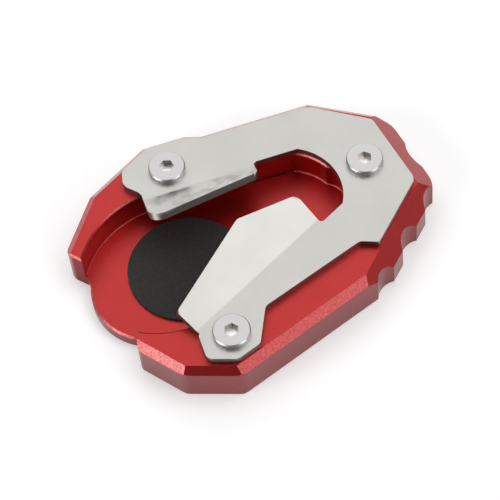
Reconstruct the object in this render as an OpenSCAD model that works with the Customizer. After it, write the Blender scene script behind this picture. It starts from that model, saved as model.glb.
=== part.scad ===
// Foot enlarger for the side stand of a motorbike: a machined base that spreads the load,
// a clamp plate with two flaps bent up, three low head screws and a grip pad.
// Millimetres. The ground is z = 0 and the origin lies below the pad, just in front of its middle.

/* [Base] */
// Height of the base, ground to top face
base_h = 11.7; // [10.5:0.1:14]
// Thickness of the floor under the foot of the stand
floor_t = 3.6; // [2.6:0.1:4.6]
// Width of the bevel along the top edges
bevel = 1.9; // [1:0.1:3]
// Run of the bevel along the long front edge
front_run = 2.35; // [1:0.05:3]
// Drop of the bevel along the long front edge
front_drop = 1.85; // [1:0.05:3]
// Small break along the bottom edges
edge_break = 0.4; // [0.2:0.1:0.8]
// Break along the rim of the pocket
rim_break = 0.45; // [0.2:0.05:0.8]
// Bevel along the edge of the tongue
tongue_bevel = 0.5; // [0.2:0.05:1]

/* [Base edges, each by its distance from the origin] */
// Front left edge
front_left_d = 29.5; // [28.5:0.1:32]
// Front edge, left of the front screw
front_nose_d = 35.25; // [34.5:0.05:38]
// Long front edge
front_d = 37.4; // [36.5:0.1:40]
// Scalloped edge of the toe
toe_d = 49.8; // [49:0.1:54]
// Scalloped edge of the right end
end_d = 69.8; // [67:0.1:76]
// Back right edge
back_right_d = 56.4; // [55:0.1:60]
// Back edge
back_d = 37.3; // [36.3:0.1:38]
// Back edge behind the back screw
hump_d = 38.9; // [38.5:0.1:41]
// Back left edge
back_left_d = 34.1; // [33:0.1:36]
// Left edge
left_d = 32; // [31:0.1:34]

/* [Slopes and scallops] */
// Run of the slope along the toe
toe_run = 4.3; // [3:0.1:5]
// Drop of the slope along the toe
toe_drop = 4.8; // [2:0.1:6]
// Run of the slope at the right end
end_run = 5.5; // [3:0.1:5.8]
// Drop of the slope at the right end
end_drop = 5; // [2:0.1:6]
// Radius of the toe scallops
toe_scallop_r = 5.6; // [4.8:0.1:6.4]
// Radius of the end scallop
end_scallop_r = 8.2; // [7:0.1:9.5]
// How far the middles of the toe scallops lie outside the toe
toe_scallop_out = 3.6; // [3:0.1:4.6]
// How far the middle of the end scallop lies outside the right end
end_scallop_out = 6.9; // [6:0.1:7.8]
// Pitch of the toe scallops
scallop_pitch = 14.25; // [13:0.25:16]

/* [Pocket] */
// Radius of the back wall of the pocket
pocket_back_r = 26.7; // [25.5:0.1:27]
// Radius of the front wall of the pocket
pocket_front_r = 23.1; // [22:0.1:24]
// Radius of the right end of the pocket
pocket_end_r = 15.3; // [14.5:0.1:15.6]
// Radius of the toe relief at the right end of the pocket
relief_r = 7.25; // [6:0.25:7.75]
// Radius of the tongue that the floor runs out in
tongue_r = 17.4; // [17:0.1:18.5]

/* [Clamp plate] */
// Thickness of the sheet
plate_t = 2; // [1.5:0.25:3]
// Strip of base that shows between the bevel and the plate
plate_margin = 0.9; // [0.4:0.1:1.6]
// The same strip along the back edge
back_margin = 1.4; // [0.4:0.1:2]
// The same strip along the long front edge
front_margin = 0.4; // [0.2:0.1:1.2]
// The same strip along both slopes
slope_margin = 0.6; // [0.3:0.1:1.5]
// Inner radius of the two bends
bend_r = 2; // [1:0.25:3]
// Angle of the back flap
back_flap_a = 28; // [15:1:35]
// Height of the back flap along the sheet
back_flap_w = 11; // [8:0.25:13]
// Angle of the front flap
front_flap_a = 22; // [12:1:30]
// Height of the front flap along the sheet
front_flap_w = 14.5; // [11:0.25:17]
// Radius of the cut-out round the right end of the pocket
cutout_r = 15.7; // [14.5:0.1:15.8]

/* [Screws] */
// Thread diameter
screw_d = 5; // [4:0.5:6]
// Length under the head
screw_l = 12; // [9:0.5:12]
// Head diameter
head_d = 10; // [8.5:0.25:11]
// Head height
head_h = 1.65; // [1.25:0.05:2.5]
// Bevel of the head
head_bevel = 0.3; // [0.2:0.1:0.8]
// Width across the flats of the socket
hex_w = 3.5; // [2:0.5:4]
// Depth of the socket
hex_depth = 1.9; // [1:0.1:3]
// Gap round the screw in the plate
plate_gap = 0.25; // [0.1:0.05:0.5]
// Gap round the screw in the base
base_gap = 0.05; // [0.05:0.05:0.3]
// Front screw, distance from the front edge on its left
front_screw_nose = 10.5; // [10:0.1:12]
// Front screw, distance from the long front edge
front_screw_front = 9.9; // [9.3:0.1:11]
// Right screw, distance from the right end
right_screw_end = 14.8; // [14:0.1:16]
// Right screw, distance from the back right edge
right_screw_back = 18; // [17:0.1:19]
// Back screw, distance from the back left edge
back_screw_left = 11.9; // [11.5:0.1:13]
// Back screw, distance from the edge behind it
back_screw_hump = 11.5; // [11:0.1:12]

/* [Pad] */
// Diameter of the grip pad
pad_d = 32.4; // [26:0.2:34]
// Thickness of the grip pad
pad_t = 0.8; // [0.5:0.1:2.5]

/* [Hidden] */
$fn = 96;

// how far each socket is turned
hex_turn = [41, 17, 11];

// degrees of a corner's arc that one short side covers
arc_step = 9;
far = 160;
// the sheet and each bend overlap by a lap, and the edge of the sheet is tucked inside it
lap = 1.5;
tuck = 0.3;

// how far inside the pocket the outline of the base leaves the front and the back wall
wall_tuck = [0.6, 3.45];

// a round wall and the straight one that follows cross at this angle
meet_a = 2;

top_z = base_h + plate_t;

// an edge is its outward direction and its distance from the origin
front_left = [218.2, front_left_d];
front_nose = [249.7, front_nose_d];
front = [289.95, front_d];
toe = [315, toe_d];
end = [10.15, end_d];
back_right = [57.4, back_right_d];
back = [90, back_d];
hump_side = [70, hump_d + 1.38];
hump = [90, hump_d];
back_left = [120, back_left_d];
left = [144.1, left_d];
tip = [222, 14.15];
block_end = [159.2, 11.1];

// where the screws stand, seen from above
front_screw = meet(moved(front_nose, front_screw_nose), moved(front, front_screw_front));
right_screw = meet(moved(end, right_screw_end), moved(back_right, right_screw_back));
back_screw = meet(moved(back_left, back_screw_left), moved(hump, back_screw_hump));

// radii of the other upright corners
nose_corner = [2, 6, 5];
toe_corner = [6, 11, 4];
soft_corner = 1.2;
tip_corner = 3.6;
tip_bevel = 0.5;

// the pocket: two round walls, each running on straight to the right, and a round end
pocket_back = [-2.9, -3.8];
pocket_front = [-6.4, 2];
back_wall_a = 88.3;
front_wall_a = -65.6;
pocket_end = [30.1, 7.9];
relief = [40.2, 8.2];
tongue = [-9.6, -0.3];
pad_middle = [0, 1.1];

// along the edges, where the first toe scallop and the end scallop lie
toe_scallop_t = 18.1;
end_scallop_t = 0.7;

// bends of the plate: where each starts, its direction and its length
back_bend = [-5.8, 19.83];
back_bend_l = 31.3;
front_bend = [-4.34, -24.22];
front_bend_a = 28.5;
front_bend_l = 45.6;
back_set = bend_r * tan(back_flap_a / 2);
front_set = bend_r * tan(front_flap_a / 2);

// the plate's own edges; the ear reaches round the front screw
ear_reach = [8.3, 7.7];
ear_right_a = -24.8;
ear_left = front_screw[0] - ear_reach[0];
ear_right = [ear_right_a, dir(ear_right_a) * front_screw + ear_reach[1]];
plate_front = moved(front, front_run + front_margin);
plate_back_right = [back_right[0] - 1.8, back_right_d - bevel - plate_margin];
waist = [289.4, front_d - 10.75];
waist_end = [247.2, dir(247.2) * [48, -14.4]];
cut_top = [90, back_screw[1] - 6.05];
cut_low = [front_bend_a - 90, dir(front_bend_a - 90) * front_bend + 1.5];

function dir(a) = [cos(a), sin(a)];
function unit(v) = v / norm(v);
function moved(edge, by) = [edge[0], edge[1] - by];
function meet(e, f) = [
    e[1] * sin(f[0]) - f[1] * sin(e[0]),
    f[1] * cos(e[0]) - e[1] * cos(f[0])
] / sin(f[0] - e[0]);
function at(edge, along) = dir(edge[0]) * edge[1] + dir(edge[0] + 90) * along;
function r(point, radius) = [point[0], point[1], radius];
function turn(a) = a > 180 ? a - 360 : a < -180 ? a + 360 : a;
function xy(p) = [p[0], p[1]];

// a corner b between a and c, with its own radius, as points along the arc
function arc(a, b, c, radius) =
    radius == 0 ? [b] :
    let (
        u = unit(a - b),
        v = unit(c - b),
        half = acos(u * v) / 2,
        mid = b + unit(u + v) * radius / sin(half),
        p = b + u * radius / tan(half) - mid,
        q = b + v * radius / tan(half) - mid,
        start = atan2(p[1], p[0]),
        sweep = turn(atan2(q[1], q[0]) - start),
        n = 1 + 2 * ceil(abs(sweep) / arc_step / 2)
    )
    [for (k = [0 : n]) mid + radius * dir(start + sweep * k / n)];

function rounded(list) = [
    for (i = [0 : len(list) - 1])
        each arc(
            xy(list[(i + len(list) - 1) % len(list)]),
            xy(list[i]),
            xy(list[(i + 1) % len(list)]),
            list[i][2]
        )
];

function inner(edge, margin) = moved(edge, bevel + margin);

// everything above a plane that falls outwards from a line along an edge
module above_slope(edge, z, fall) {
    rotate([0, 0, edge[0]])
    translate([edge[1], 0, z])
    rotate([0, fall, 0])
    translate([-far / 2, -far, 0])
    cube([far, 2 * far, far]);
}

module top_bevel(edge) {
    above_slope(moved(edge, bevel), base_h, 45);
}

module bottom_break(edge) {
    mirror([0, 0, 1])
    above_slope(moved(edge, edge_break), 0, 45);
}

// the outline of the base, from the front end of the mouth round to its back end
module base_outline() {
    polygon(rounded([
        r(at(block_end, pocket_front_r - wall_tuck[0]), 0),
        r(meet(block_end, front_left), nose_corner[0]),
        r(meet(front_left, front_nose), nose_corner[1]),
        r(meet(front_nose, front), nose_corner[2]),
        r(meet(front, toe), toe_corner[0]),
        r(meet(toe, end), toe_corner[1]),
        r(meet(end, back_right), toe_corner[2]),
        r(meet(back_right, back), soft_corner),
        r(meet(back, hump_side), 4),
        r(meet(hump_side, hump), 4),
        r(meet(hump, back_left), soft_corner),
        r(meet(back_left, left), soft_corner),
        r(meet(left, tip), tip_corner),
        r(at(tip, wall_tuck[1] - pocket_back_r), 0),
        r(tongue + (tongue_r - tongue_bevel - tuck) * dir(170), 0)
    ]));
}

module body() {
    difference() {
        linear_extrude(base_h)
        base_outline();
        for (edge = [front_left, front_nose, back_right, hump, back_left, left]) {
            top_bevel(edge);
            bottom_break(edge);
        }
        above_slope(moved(front, front_run), base_h, atan(front_drop / front_run));
        bottom_break(front);
        // where the back edge steps out to the hump, only what lies beyond both edges goes
        intersection() {
            top_bevel(back);
            top_bevel(hump_side);
        }
        intersection() {
            bottom_break(back);
            bottom_break(hump_side);
        }
    }
}

// the side of a straight wall that runs on from a round one
module beyond(middle, radius, a, way) {
    translate(middle)
    rotate(a)
    translate([-far, way > 0 ? 0 : -far])
    square([far + radius * cos(meet_a), far]);
}

module pocket_outline() {
    intersection() {
        union() {
            translate(pocket_back)
            circle(pocket_back_r);
            beyond(pocket_back, pocket_back_r, back_wall_a, -1);
        }
        union() {
            translate(pocket_front)
            circle(pocket_front_r);
            beyond(pocket_front, pocket_front_r, front_wall_a, 1);
        }
        union() {
            translate([pocket_end[0] - far, -far / 2])
            square([far, far]);
            translate(pocket_end)
            circle(pocket_end_r);
        }
    }
    translate(relief)
    circle(relief_r);
}

// the same walls leaning out at 45 degrees, to break the rim of the pocket
module round_rim(middle, radius) {
    translate([middle[0], middle[1], base_h - rim_break])
    cylinder(h = 2 * rim_break, r1 = radius, r2 = radius + 2 * rim_break);
}

module straight_rim(middle, radius, a, way) {
    translate([middle[0], middle[1], base_h - rim_break])
    rotate([0, 0, a])
    translate([radius * cos(meet_a), way > 0 ? 0 : -far, 0])
    rotate([0, 45, 0])
    translate([-far, 0, -far])
    cube([far, far, 2 * far]);
}

module rim() {
    intersection() {
        union() {
            round_rim(pocket_back, pocket_back_r);
            straight_rim(pocket_back, pocket_back_r, back_wall_a, -1);
        }
        union() {
            round_rim(pocket_front, pocket_front_r);
            straight_rim(pocket_front, pocket_front_r, front_wall_a, 1);
        }
        union() {
            translate([pocket_end[0] - far, -far / 2, 0])
            cube([far, far, far]);
            round_rim(pocket_end, pocket_end_r);
        }
        translate([-far / 2, -far / 2, base_h - rim_break])
        cube([far, far, 2 * rim_break]);
    }
    round_rim(relief, relief_r);
}

// the end face of the left wall has a smaller bevel of its own
module tip_break() {
    intersection() {
        above_slope(moved(tip, tip_bevel), base_h, 45);
        translate([meet(left, tip)[0] - 2, 0, 0])
        cube([tip_corner * 3, far / 4, far / 4]);
    }
}

module scallops() {
    for (k = [0 : 2])
        translate(at(moved(toe, -toe_scallop_out), toe_scallop_t + k * scallop_pitch))
        translate([0, 0, -1])
        cylinder(h = base_h + 2, r = toe_scallop_r);
    translate(at(moved(end, -end_scallop_out), end_scallop_t))
    translate([0, 0, -1])
    cylinder(h = base_h + 2, r = end_scallop_r);
}

module screw_holes(gap, z, h) {
    for (place = [back_screw, right_screw, front_screw])
        translate([place[0], place[1], z])
        cylinder(h = h, r = screw_d / 2 + gap);
}

module base() {
    color([0.72, 0.12, 0.13])
    difference() {
        union() {
            body();
            translate(tongue)
            cylinder(h = floor_t - tongue_bevel, r = tongue_r);
            translate([tongue[0], tongue[1], floor_t - tongue_bevel])
            cylinder(h = tongue_bevel, r1 = tongue_r, r2 = tongue_r - tongue_bevel);
        }
        translate([0, 0, floor_t])
        linear_extrude(base_h)
        pocket_outline();
        rim();
        tip_break();
        above_slope(moved(toe, toe_run), base_h, atan(toe_drop / toe_run));
        above_slope(moved(end, end_run), base_h, atan(end_drop / end_run));
        scallops();
        screw_holes(base_gap, -1, base_h + 2);
    }
}

module plate_outline() {
    slope_toe = moved(toe, toe_run + slope_margin);
    slope_end = moved(end, end_run + slope_margin);
    along = dir(front_bend_a);
    front_start = front_bend + dir(front_bend_a - 90) * (front_set + tuck) + along * tuck;
    front_stop = front_start + along * (front_bend_l - 2 * tuck);
    cut_t = along * front_bend + front_bend_l + 1;
    difference() {
        polygon(rounded([
            r(front_start, 0),
            r([ear_left, front_bend[1] - 1.6], 0.8),
            r(meet([180, -ear_left], inner(front_nose, plate_margin)), 1.8),
            r(meet(inner(front_nose, plate_margin), plate_front), 3),
            r(meet(plate_front, ear_right), 2),
            r(meet(ear_right, waist), 2.2),
            r(meet(waist, waist_end), 2),
            r(meet(waist_end, slope_toe), 0.9),
            r(meet(slope_toe, slope_end), 3),
            r(meet(slope_end, plate_back_right), 1.6),
            r(meet(plate_back_right, inner(back, back_margin)), 6),
            r(meet(inner(back, back_margin), inner(hump_side, back_margin)), 4),
            r(meet(inner(hump_side, back_margin), inner(hump, plate_margin)), 4),
            r(meet(inner(hump, plate_margin), inner(back_left, plate_margin)), 2),
            r(meet(inner(back_left, plate_margin), [163, 17.4]), 2.6),
            r([back_screw[0] - 12.8, back_screw[1] - 1], 3),
            r([back_bend[0] - 0.6, back_bend[1] + 3], 3),
            r([back_bend[0] + tuck, back_bend[1] + back_set + tuck], 0),
            r([back_bend[0] + back_bend_l - tuck, back_bend[1] + back_set + tuck], 0),
            r([back_bend[0] + back_bend_l + 1, cut_top[1]], 0.5),
            r([pocket_end[0], cut_top[1]], 0),
            r(at(cut_low, cut_t), 0),
            r(front_stop, 0)
        ]));
        intersection() {
            translate(pocket_end)
            circle(cutout_r);
            polygon([
                [pocket_end[0], cut_top[1]],
                at(cut_low, cut_t),
                at(cut_low, cut_t + 2 * cutout_r),
                [pocket_end[0] + 2 * cutout_r, cut_top[1]]
            ]);
        }
    }
}

// the sheet seen along a bend: a short lap on the flat side, the bend and the flap
function bent(a, set) =
    let (
        middle = [-set, bend_r],
        out = bend_r + plate_t,
        n = ceil(a / 4),
        reach = far / 4 * dir(a)
    )
    concat(
        [[-set - lap, 0], [-set - lap, -plate_t]],
        [for (k = [0 : n]) middle + out * dir(a * k / n - 90)],
        [middle + out * dir(a - 90) + reach, middle + bend_r * dir(a - 90) + reach],
        [for (k = [n : -1 : 0]) middle + bend_r * dir(a * k / n - 90)]
    );

// a flap runs up from its bend; its outline is drawn on the sheet, from the bend's corner
module flap(start, way, a, set, outline) {
    translate([start[0], start[1], top_z])
    rotate([0, 0, way])
    intersection() {
        translate([-lap, 0, 0])
        rotate([90, 0, 90])
        linear_extrude(far / 2)
        polygon(bent(a, set));
        rotate([a, 0, 0])
        translate([0, 0, -far / 8])
        linear_extrude(far / 4)
        polygon(rounded(outline));
    }
}

module clamp_plate() {
    color([0.82, 0.81, 0.79])
    difference() {
        union() {
            translate([0, 0, base_h])
            linear_extrude(plate_t)
            plate_outline();
            flap([back_bend[0] + back_bend_l, back_bend[1]], 180, back_flap_a, back_set, [
                r([0, -2 * plate_t], 0),
                r([back_bend_l, -2 * plate_t], 0),
                r([back_bend_l + 0.3, back_flap_w], 3.6),
                r([-0.1, back_flap_w - 7.5], 1.6)
            ]);
            flap(front_bend, front_bend_a, front_flap_a, front_set, [
                r([0, -2 * plate_t], 0),
                r([front_bend_l, -2 * plate_t], 0),
                r([front_bend_l + 0.7, front_flap_w - 5.9], 2.4),
                r([front_bend_l * 0.645, front_flap_w], 2.5),
                r([-0.35, front_flap_w - 7.3], 1.3)
            ]);
        }
        screw_holes(plate_gap, base_h - 1, plate_t + 2);
    }
}

module screw(place, turned) {
    color([0.78, 0.78, 0.77])
    translate([place[0], place[1], top_z])
    difference() {
        rotate_extrude()
        polygon([
            [0, -screw_l],
            [screw_d / 2 - head_bevel, -screw_l],
            [screw_d / 2, head_bevel - screw_l],
            [screw_d / 2, 0],
            [head_d / 2, 0],
            [head_d / 2, head_h - head_bevel],
            [head_d / 2 - head_bevel, head_h],
            [0, head_h]
        ]);
        translate([0, 0, head_h - hex_depth])
        rotate([0, 0, turned])
        cylinder(h = hex_depth + 1, r = hex_w / sqrt(3), $fn = 6);
    }
}

module screw_back() {
    screw(back_screw, hex_turn[0]);
}

module screw_right() {
    screw(right_screw, hex_turn[1]);
}

module screw_front() {
    screw(front_screw, hex_turn[2]);
}

module foot_pad() {
    color([0.18, 0.18, 0.19])
    translate([pad_middle[0], pad_middle[1], floor_t])
    cylinder(h = pad_t, d = pad_d);
}

base();
clamp_plate();
screw_back();
screw_right();
screw_front();
foot_pad();
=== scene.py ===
import math

import bpy
from mathutils import Matrix, Vector


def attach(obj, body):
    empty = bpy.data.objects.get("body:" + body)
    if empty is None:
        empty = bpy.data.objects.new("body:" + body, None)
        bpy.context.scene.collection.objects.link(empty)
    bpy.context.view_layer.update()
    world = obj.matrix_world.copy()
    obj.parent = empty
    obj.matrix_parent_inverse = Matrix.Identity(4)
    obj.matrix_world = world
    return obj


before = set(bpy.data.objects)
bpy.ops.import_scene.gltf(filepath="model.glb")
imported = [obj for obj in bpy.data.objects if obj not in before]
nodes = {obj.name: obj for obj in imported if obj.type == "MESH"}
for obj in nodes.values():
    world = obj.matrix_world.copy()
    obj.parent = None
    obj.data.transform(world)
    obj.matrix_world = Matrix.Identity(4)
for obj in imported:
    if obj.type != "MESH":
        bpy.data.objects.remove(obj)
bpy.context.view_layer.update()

MM = 0.001
SCREWS = ("screw_back", "screw_right", "screw_front")

# seen from above, the sides of the base that look away from this point are its outer sides
POCKET_MIDDLE = (10 * MM, 3 * MM)
# the back flap lies between these places along Y, and left of this one along X
FLAP_FRONT, FLAP_BACK, FLAP_RIGHT = 8 * MM, 22 * MM, 30 * MM


# ---------------------------------------------------------------- node helpers

class Tree:
    """A material's node tree, with short calls for the nodes used here."""

    def __init__(self, name):
        self.material = bpy.data.materials.new(name)
        self.material.use_nodes = True
        self.nodes = self.material.node_tree.nodes
        self.links = self.material.node_tree.links
        self.shader = self.nodes["Principled BSDF"]
        self.place = self.nodes.new("ShaderNodeTexCoord").outputs["Object"]
        self.normal = self.nodes.new("ShaderNodeNewGeometry").outputs["Normal"]

    def set(self, socket, value):
        if isinstance(value, bpy.types.NodeSocket):
            self.links.new(value, socket)
        else:
            socket.default_value = value

    # patterns

    def noise(self, size_mm, detail, rough):
        node = self.nodes.new("ShaderNodeTexNoise")
        self.set(node.inputs["Vector"], self.place)
        self.set(node.inputs["Scale"], 1000.0 / size_mm)
        self.set(node.inputs["Detail"], detail)
        self.set(node.inputs["Roughness"], rough)
        return node.outputs["Fac"]

    def cells(self, size_mm):
        node = self.nodes.new("ShaderNodeTexVoronoi")
        self.set(node.inputs["Vector"], self.place)
        self.set(node.inputs["Scale"], 1000.0 / size_mm)
        return node.outputs["Distance"]

    # sums

    def math(self, kind, a, b=0.0):
        node = self.nodes.new("ShaderNodeMath")
        node.operation = kind
        self.set(node.inputs[0], a)
        self.set(node.inputs[1], b)
        return node.outputs[0]

    def spread(self, value, low, high, to_low=0.0, to_high=1.0):
        """Runs from to_low to to_high while the value runs from low to high, and stays there beyond."""
        node = self.nodes.new("ShaderNodeMapRange")
        for key, number in (
            ("Value", value),
            ("From Min", low),
            ("From Max", high),
            ("To Min", to_low),
            ("To Max", to_high),
        ):
            self.set(node.inputs[key], number)
        return node.outputs["Result"]

    def both(self, first, *others):
        """1 where all masks are 1."""
        for other in others:
            first = self.math("MULTIPLY", first, other)
        return first

    def mixed(self, factor, a, b):
        node = self.nodes.new("ShaderNodeMix")
        node.data_type = "RGBA"
        self.set(node.inputs["Factor"], factor)
        self.set(node.inputs["A"], (*a, 1.0) if isinstance(a, tuple) else a)
        self.set(node.inputs["B"], (*b, 1.0) if isinstance(b, tuple) else b)
        return node.outputs["Result"]

    def mottled(self, pattern, dark, pale, low=0.3, high=0.7):
        """Two colours, blended where the pattern lies between low and high."""
        return self.mixed(self.spread(pattern, low, high), dark, pale)

    def vector(self, kind, *values):
        node = self.nodes.new("ShaderNodeVectorMath")
        node.operation = kind
        for socket, value in zip(node.inputs, values):
            self.set(socket, value)
        return node.outputs

    # places and directions

    def part(self, vector, axis):
        split = self.nodes.new("ShaderNodeSeparateXYZ")
        self.set(split.inputs["Vector"], vector)
        return split.outputs[axis]

    def along(self, axis):
        """Places along X, Y or Z, in metres."""
        return self.part(self.place, axis)

    def facing(self, axis):
        """How far a face looks along X, Y or Z, from -1 to 1."""
        return self.part(self.normal, axis)

    def from_above(self, x, y):
        """Places seen from above, counted from the point x, y."""
        return self.vector("MULTIPLY_ADD", self.place, (1.0, 1.0, 0.0), (-x, -y, 0.0))["Vector"]

    def outwards(self):
        """Above 0 where the base's sides look away from the pocket's middle, and below 0 inside it."""
        return self.vector("DOT_PRODUCT", self.from_above(*POCKET_MIDDLE), self.normal)["Value"]

    def level(self, low, high):
        """0 on upright faces and 1 on level ones; the values are where the change starts and ends."""
        return self.spread(self.math("ABSOLUTE", self.facing("Z")), low, high)

    def upright(self):
        return self.level(0.5, 0.3)

    def sloped(self):
        """1 on bevels, and 0 on upright and level faces."""
        return self.both(self.level(0.5, 0.6), self.level(0.9, 0.82))

    # the shader

    def bump(self, height, depth_mm, under=None):
        node = self.nodes.new("ShaderNodeBump")
        self.set(node.inputs["Height"], height)
        self.set(node.inputs["Distance"], depth_mm * MM)
        self.set(node.inputs["Strength"], 1.0)
        if under is not None:
            self.set(node.inputs["Normal"], under)
        return node.outputs["Normal"]

    def finish(self, **values):
        """Sets the shader's sockets; a word such as base_color stands for Base Color."""
        sockets = {socket.name.lower().replace(" ", "_"): socket for socket in self.shader.inputs}
        for word, value in values.items():
            self.set(sockets[word], value)
        return self.material


# ---------------------------------------------------------------- materials

def anodised():
    """Red dye on bead blasted aluminium: a broad lobe in the metal under a tighter one in the oxide."""
    t = Tree("red_anodised")
    grain = t.noise(0.28, 2.0, 0.6)
    specks = t.noise(0.55, 1.0, 0.5)
    cloud = t.noise(9.0, 3.0, 0.5)
    outer = t.spread(t.outwards(), 0.0, 2 * MM)
    inner = t.spread(t.outwards(), 0.0, -2 * MM)

    colour = t.mottled(cloud, (0.44, 0.007, 0.006), (0.49, 0.011, 0.009))
    colour = t.mixed(t.spread(grain, 0.3, 0.75, 0.0, 0.35), colour, (0.56, 0.03, 0.03))

    # the outer upright sides are painted darker than the pocket and the top, as shade
    painted_side = t.mottled(grain, (0.20, 0.006, 0.008), (0.27, 0.012, 0.014))
    colour = t.mixed(t.both(t.upright(), outer), colour, painted_side)

    # the front bevels get a painted highlight, paler the more they look to the left;
    # the short one at the nose, which faces nose_x along X, doesn't
    nose_x = -0.245
    off_nose = t.spread(t.math("ABSOLUTE", t.math("ADD", t.facing("X"), -nose_x)), 0.1, 0.2)
    not_right = t.spread(t.facing("X"), 0.45, 0.3)
    not_back = t.spread(t.facing("Y"), 0.3, 0.15)
    leftness = t.spread(t.facing("X"), 0.1, -0.3, 0.45, 1.0)
    painted_bevel_highlight = t.mottled(specks, (0.42, 0.065, 0.065), (0.56, 0.17, 0.17), 0.36, 0.64)
    colour = t.mixed(t.both(t.sloped(), not_right, not_back, off_nose, leftness), colour, painted_bevel_highlight)

    # the bevels along the back are paler and greyer, and the pocket's front rim is painted dark, as shade
    pale_back_bevels = t.both(t.sloped(), t.spread(t.facing("Y"), 0.45, 0.55), outer)
    colour = t.mixed(pale_back_bevels, colour, (0.42, 0.21, 0.21))
    painted_dark_rim = t.both(t.sloped(), t.spread(t.facing("Y"), 0.2, 0.35), inner)
    colour = t.mixed(painted_dark_rim, colour, (0.05, 0.002, 0.002))

    # this rim and the end face of the left wall, at the pocket's mouth, have less of a sheen
    mouth = t.both(
        t.upright(),
        t.spread(t.facing("X"), -0.55, -0.65),
        t.spread(t.facing("Y"), -0.5, -0.6),
        t.spread(t.along("Y"), 0.0, 2 * MM),
    )
    bumps = t.bump(specks, 0.045, under=t.bump(grain, 0.03))
    return t.finish(
        base_color=colour,
        metallic=1.0,
        roughness=t.spread(grain, 0.3, 0.7, 0.38, 0.48),
        normal=bumps,
        coat_weight=t.spread(t.math("MAXIMUM", mouth, painted_dark_rim), 0.0, 1.0, 0.85, 0.1),
        coat_ior=1.47,
        coat_roughness=0.34,
        coat_normal=bumps,
    )


def satin_sheet():
    """Stainless sheet with a fine blasted grain and darker cut edges, with painted highlights on its edges
    and painted reflections and shade on its back flap.
    """
    t = Tree("satin_stainless_sheet")
    grain = t.noise(0.22, 2.0, 0.6)
    cloud = t.noise(14.0, 3.0, 0.55)
    blotches = t.noise(4.0, 2.0, 0.5)
    edge_or_flat = t.level(0.48, 0.58)
    on_flap = t.both(
        t.spread(t.along("Y"), FLAP_FRONT, FLAP_FRONT + MM),
        t.spread(t.along("Y"), FLAP_BACK, FLAP_BACK - MM),
        t.spread(t.along("X"), FLAP_RIGHT, FLAP_RIGHT - 2 * MM),
    )

    # the upper side of the back flap, which looks to the back, has dark patches painted on as its
    # reflections and shade
    colour = t.mottled(cloud, (0.53, 0.517, 0.49), (0.57, 0.56, 0.535))
    painted_flap_shade = t.both(t.spread(blotches, 0.45, 0.65), t.spread(t.facing("Y"), 0.3, 0.42), 0.55)
    colour = t.mixed(painted_flap_shade, colour, (0.30, 0.29, 0.27))

    # the cut edges; the back flap's one has a painted pale highlight above and on its left side
    cut = t.mottled(grain, (0.22, 0.20, 0.185), (0.30, 0.28, 0.26))
    above = t.both(on_flap, t.spread(t.along("Z"), 17.6 * MM, 18.6 * MM, 0.0, 0.8))
    left_side = t.both(on_flap, t.spread(t.facing("X"), -0.3, -0.6))
    cut = t.mixed(t.math("MAXIMUM", above, left_side), cut, (0.72, 0.70, 0.68))

    # between the two, the rounded edges get a painted pale highlight, and are rougher
    wear_and_highlight = t.mixed(edge_or_flat, cut, (0.95, 0.88, 0.86))
    flap_edge = t.both(on_flap, t.spread(t.facing("Y"), -0.08, -0.2))
    flat = t.both(t.level(0.8, 0.87), t.math("SUBTRACT", 1.0, flap_edge))
    edge = t.both(edge_or_flat, t.math("SUBTRACT", 1.0, flat))
    return t.finish(
        base_color=t.mixed(flat, wear_and_highlight, colour),
        metallic=1.0,
        roughness=t.math("ADD", t.spread(grain, 0.3, 0.7, 0.34, 0.44), t.math("MULTIPLY", edge, 0.35)),
        normal=t.bump(grain, 0.008),
    )


def turned_steel(name):
    """A screw turned on its own axis, so its fine rings are centred on its node's middle."""
    # radians per mm of radius, and mm
    ring_rate = 24.0
    socket_radius, socket_top = 2.2, 0.1
    t = Tree(name.replace("screw", "turned_screw"))
    low, high = (Vector(nodes[name].bound_box[k]) for k in (0, 6))
    axis = (low + high) / 2
    radius = t.vector("LENGTH", t.from_above(axis.x, axis.y))["Value"]
    radius_mm = t.math("MULTIPLY", radius, 1000.0)
    rings = t.math("SINE", t.math("MULTIPLY", radius_mm, ring_rate))
    grain = t.noise(0.15, 2.0, 0.5)

    # the head's side and bevel are painted paler than its top, to lift the shade and dark reflections on
    # them
    top = t.mottled(grain, (0.545, 0.54, 0.53), (0.59, 0.585, 0.575))
    painted_side = t.mottled(grain, (0.58, 0.575, 0.57), (0.66, 0.655, 0.65))
    colour = t.mixed(t.level(0.75, 0.95), painted_side, top)

    # the socket's floor is painted bright, as lit from above, and its walls are painted darker, as shade
    below_top = t.math("SUBTRACT", high.z, t.along("Z"))
    in_socket = t.both(
        t.spread(radius_mm, socket_radius + 0.05, socket_radius - 0.05),
        t.spread(below_top, socket_top * MM, 2 * socket_top * MM),
    )
    socket_light_and_shade = t.mixed(t.level(0.3, 0.6), (0.55, 0.52, 0.48), (0.95, 0.93, 0.90))
    return t.finish(
        base_color=t.mixed(in_socket, colour, socket_light_and_shade),
        metallic=1.0,
        roughness=t.spread(grain, 0.3, 0.7, 0.32, 0.42),
        normal=t.bump(rings, 0.002, under=t.bump(grain, 0.003)),
    )


def grip_sheet():
    """Black rubber with a fine grit."""
    t = Tree("grip_sheet")
    grit = t.cells(0.42)
    fine = t.noise(0.25, 3.0, 0.7)
    wear_and_highlight = t.both(t.spread(grit, 0.1, 0.7, 1.0, 0.0), t.spread(fine, 0.35, 0.7))
    return t.finish(
        base_color=t.mixed(wear_and_highlight, (0.022, 0.022, 0.020), (0.064, 0.062, 0.058)),
        roughness=0.75,
        specular_ior_level=0.4,
        normal=t.bump(fine, 0.08, under=t.bump(grit, 0.05)),
    )


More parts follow.
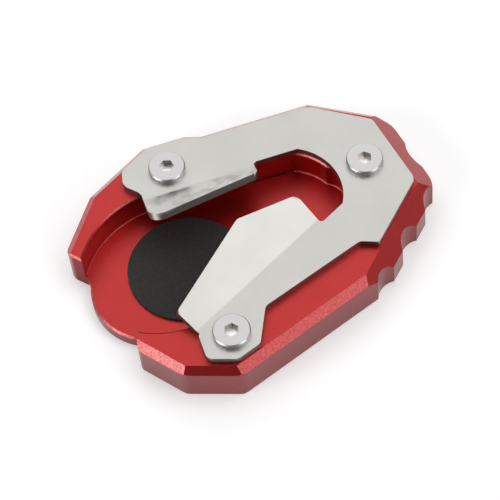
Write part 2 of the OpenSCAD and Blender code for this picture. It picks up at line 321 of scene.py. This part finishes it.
def pale_floor():
    """A matt floor with a glow that only the camera and mirrors see, so that it lights nothing."""
    t = Tree("pale_floor")
    rays = t.nodes.new("ShaderNodeLightPath").outputs
    seen = t.math("MAXIMUM", rays["Is Camera Ray"], rays["Is Glossy Ray"])
    seen = t.math("MAXIMUM", seen, rays["Is Transmission Ray"])
    mottle = t.noise(60.0, 2.0, 0.5)
    return t.finish(
        base_color=t.mixed(mottle, (0.79, 0.79, 0.79), (0.81, 0.81, 0.81)),
        roughness=0.9,
        specular_ior_level=0.1,
        emission_color=(1.0, 1.0, 1.0, 1.0),
        emission_strength=t.math("MULTIPLY", seen, 0.37),
    )


# ---------------------------------------------------------------- the CAD's pieces

def dress(name, material):
    mesh = nodes[name].data
    mesh.materials.clear()
    mesh.materials.append(material)


def soften(name, width_mm):
    """Small rounded edges, as blasting or tumbling leaves them."""
    weld = nodes[name].modifiers.new("joined_faces", "WELD")
    weld.merge_threshold = 0.001 * MM
    edge = nodes[name].modifiers.new("edge_round", "BEVEL")
    edge.width = width_mm * MM
    edge.segments = 2
    edge.limit_method = "ANGLE"
    edge.angle_limit = math.radians(25)
    even = nodes[name].modifiers.new("even_shading", "WEIGHTED_NORMAL")
    even.mode = "FACE_AREA"
    even.weight = 100


red = anodised()
dress("base", red)
dress("clamp_plate", satin_sheet())
dress("foot_pad", grip_sheet())
soften("clamp_plate", 0.22)
soften("foot_pad", 0.15)
for screw in SCREWS:
    dress(screw, turned_steel(screw))
    soften(screw, 0.08)


# ---------------------------------------------------------------- fillet of the pocket

def ray(degrees):
    return Vector((math.cos(math.radians(degrees)), math.sin(math.radians(degrees))))


def bearing(wall, point):
    """The angle at which a point lies from the middle of a round wall."""
    way = point - wall[0]
    return math.degrees(math.atan2(way.y, way.x))


def arc(wall, first, last):
    """Points and inward directions along a round wall, every 3 degrees."""
    centre, radius = wall
    steps = max(2, round(abs(last - first) / 3))
    ways = [ray(first + (last - first) * k / steps) for k in range(steps + 1)]
    return [(centre + way * radius, -way) for way in ways]


def straight_end(start, way, wall):
    """Where a straight wall that runs from start meets the far side of a round one."""
    centre, radius = wall
    along = (centre - start).dot(way)
    aside = centre - start - way * along
    return start + way * (along + math.sqrt(radius ** 2 - aside.length_squared))


def crossings(wall, other):
    """The two corners where round walls cross, first the one left of the way between their middles."""
    way = other[0] - wall[0]
    gap = way.length
    way.normalize()
    along = (wall[1] ** 2 - other[1] ** 2 + gap ** 2) / (2 * gap)
    aside = Vector((-way.y, way.x)) * math.sqrt(wall[1] ** 2 - along ** 2)
    return wall[0] + way * along + aside, wall[0] + way * along - aside


def fillet(name, path, floor_z, radius, steps=5):
    """A hollow quarter round between an upright wall and the floor, sunk into both by a lap; all in mm."""
    lap = 0.02
    verts, faces = [], []
    for point, inward in path:
        verts.append((point.x - lap * inward.x, point.y - lap * inward.y, floor_z - lap))
        for k in range(steps + 1):
            angle = math.radians(90 * k / steps)
            out, up = radius * (1 - math.sin(angle)), radius * (1 - math.cos(angle))
            verts.append((point.x + out * inward.x, point.y + out * inward.y, floor_z + up))
    ring = steps + 2
    for i in range(len(path) - 1):
        for k in range(ring):
            a, b = i * ring + k, i * ring + (k + 1) % ring
            faces.append((a, b, b + ring, a + ring))
    last = (len(path) - 1) * ring
    faces.append(tuple(range(ring))[::-1])
    faces.append(tuple(range(last, last + ring)))
    mesh = bpy.data.meshes.new(name)
    mesh.from_pydata([tuple(c * MM for c in v) for v in verts], [], faces)
    for face in mesh.polygons:
        face.use_smooth = len(face.vertices) == 4
    piece = bpy.data.objects.new(name, mesh)
    bpy.context.scene.collection.objects.link(piece)
    return piece


def pocket_path():
    """The foot of the pocket's walls: from the mouth along the back, round the end and along the front."""
    # in mm: the middles and radii of the round walls, and the angles between which two of them run
    back = (Vector((-2.9, -3.8)), 26.7)
    front = (Vector((-6.4, 2.0)), 23.1)
    end = (Vector((30.1, 7.9)), 15.3)
    relief = (Vector((40.2, 8.2)), 7.25)
    back_first, back_last = 152.0, 86.3
    front_first, front_last = -63.6, -121.0
    # a round wall and the straight one beside it cross at this angle
    meet = 2.0

    back_arc = arc(back, back_first, back_last)
    front_arc = arc(front, front_first, front_last)
    back_way, front_way = ray(back_last + meet), ray(front_first - meet)
    back_corner = straight_end(back_arc[-1][0], ray(back_last + meet - 90), end)
    front_corner = straight_end(front_arc[0][0], ray(front_first - meet + 90), end)
    relief_back, relief_front = crossings(end, relief)
    return [
        *back_arc,
        (back_corner, -back_way),
        *arc(end, bearing(end, back_corner), bearing(end, relief_back)),
        *arc(relief, bearing(relief, relief_back), bearing(relief, relief_front)),
        *arc(end, bearing(end, relief_front), bearing(end, front_corner)),
        (front_corner, -front_way),
        *front_arc,
    ]


pad = nodes["foot_pad"]
pocket_floor_mm = (pad.matrix_world @ Vector(pad.bound_box[0])).z / MM
pocket_fillet = fillet("pocket_fillet", pocket_path(), pocket_floor_mm, 0.38)
pocket_fillet.data.materials.append(red)
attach(pocket_fillet, "root")


# ---------------------------------------------------------------- floor

half = 4.0
corners = [(-half, -half, 0), (half, -half, 0), (half, half, 0), (-half, half, 0)]
sheet = bpy.data.meshes.new("floor")
sheet.from_pydata(corners, [], [(0, 1, 2, 3)])
sheet.materials.append(pale_floor())
floor = bpy.data.objects.new("floor", sheet)
floor.location.z = -0.1 * MM
bpy.context.scene.collection.objects.link(floor)


# ---------------------------------------------------------------- light

# the point that the lamps and the camera look at; a lamp's distance, width and height are in metres
middle = Vector((16.1 * MM, -5.3 * MM, 13.7 * MM))


def soft_lamp(name, way, distance, width, height, radiance):
    """A soft light that shines on the part from a direction; its brightness there is the radiance."""
    lamp = bpy.data.lights.new(name, "AREA")
    lamp.shape = "RECTANGLE"
    lamp.size = width
    lamp.size_y = height
    lamp.energy = radiance * math.pi * width * height
    holder = bpy.data.objects.new(name, lamp)
    way = Vector(way).normalized()
    holder.location = middle + way * distance
    holder.rotation_mode = "QUATERNION"
    holder.rotation_quaternion = way.to_track_quat("Z", "Y")
    bpy.context.scene.collection.objects.link(holder)


soft_lamp("top_light", (0.08, 0.55, 0.83), 1.0, 1.4, 1.2, 1.17)
soft_lamp("wing_light", (0.5, -0.16, 0.85), 1.0, 0.7, 0.6, 1.75)
soft_lamp("back_light", (0.12, 0.98, 0.12), 1.0, 1.2, 0.45, 1.4)
soft_lamp("left_light", (-0.88, -0.225, 0.42), 0.9, 0.6, 0.5, 3.6)
soft_lamp("right_light", (0.55, -0.69, 0.45), 0.9, 0.5, 0.45, 2.6)
soft_lamp("end_light", (0.9, -0.1, 0.42), 1.0, 0.6, 0.4, 0.6)

world = bpy.data.worlds.new("studio")
bpy.context.scene.world = world
world.use_nodes = True
background = world.node_tree.nodes["Background"].inputs
background["Color"].default_value = (1.0, 1.0, 1.0, 1.0)
background["Strength"].default_value = 0.06


# ---------------------------------------------------------------- camera

azimuth, elevation, roll = math.radians(12.0), math.radians(56.64), math.radians(7.08)
camera_distance = 0.565
away = Vector((
    -math.sin(azimuth) * math.cos(elevation),
    -math.cos(azimuth) * math.cos(elevation),
    math.sin(elevation),
))
right = Vector((math.cos(azimuth), -math.sin(azimuth), 0.0))
down = (-away).cross(right)
image_right = math.cos(roll) * right + math.sin(roll) * down
image_down = -math.sin(roll) * right + math.cos(roll) * down
turned = Matrix((image_right, -image_down, away)).transposed().to_4x4()
camera = bpy.data.objects.new("camera", bpy.data.cameras.new("camera"))
camera.data.sensor_width = 36.0
camera.data.lens = 154.8
camera.data.clip_start = 0.01
camera.data.clip_end = 20.0
camera.matrix_world = Matrix.Translation(middle + away * camera_distance) @ turned
bpy.context.scene.collection.objects.link(camera)
bpy.context.scene.camera = camera
bpy.context.scene.view_settings.view_transform = "Standard"
